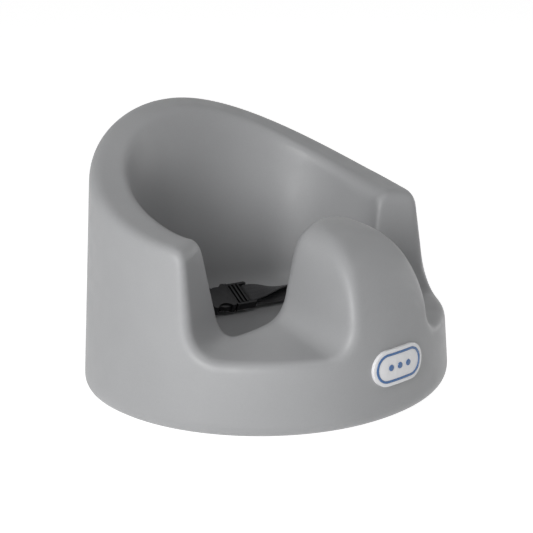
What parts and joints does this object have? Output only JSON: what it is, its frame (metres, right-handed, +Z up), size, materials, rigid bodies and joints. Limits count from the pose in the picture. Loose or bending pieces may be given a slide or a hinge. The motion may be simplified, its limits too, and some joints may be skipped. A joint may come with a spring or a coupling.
{
  "type": "baby floor seat",
  "caption": "Moulded foam floor seat for a baby: high curved back, two leg openings, a post between the legs, and a waist belt with a squeeze-release buckle.",
  "frame": {"origin": "middle of the base, on the floor", "axes": "+Z up, the front with the post and badge faces -Y, +X is to the right seen from the front"},
  "size_m": [0.3862, 0.3558, 0.2694],
  "materials": {
    "foam_skin": "satin moulded foam skin",
    "black_plastic": "matte",
    "bracket_steel": "zinc plated",
    "screw_steel": "zinc plated",
    "webbing": "woven polyester",
    "buckle_plastic": "satin",
    "badge_white": "gloss",
    "badge_blue": "gloss"
  },
  "bodies": {
    "seat": {"foam_shell": "foam_skin", "base_board": "black_plastic", "bracket_left": "bracket_steel", "bracket_right": "bracket_steel", "bracket_screws": "screw_steel", "anchor_pins": "screw_steel", "belt_left": "webbing", "belt_right": "webbing", "buckle_socket": "buckle_plastic", "buckle_tongue": "buckle_plastic", "badge_plate": "badge_white", "badge_band": "badge_blue", "badge_dots": "badge_blue"},
    "prong_front": {"buckle_prong_front": "buckle_plastic"},
    "prong_back": {"buckle_prong_back": "buckle_plastic"}
  },
  "joints": [
    {"name": "squeeze_front", "type": "slide", "parent": "seat", "child": "prong_front", "axis": [0.2068, 0.8747, 0.4384], "range_m": [0, 0.0034], "stiffness_N_per_m": 2500},
    {"name": "squeeze_back", "type": "slide", "parent": "seat", "child": "prong_back", "axis": [-0.2068, -0.8747, -0.4384], "range_m": [0, 0.0034], "stiffness_N_per_m": 2500}
  ]
}
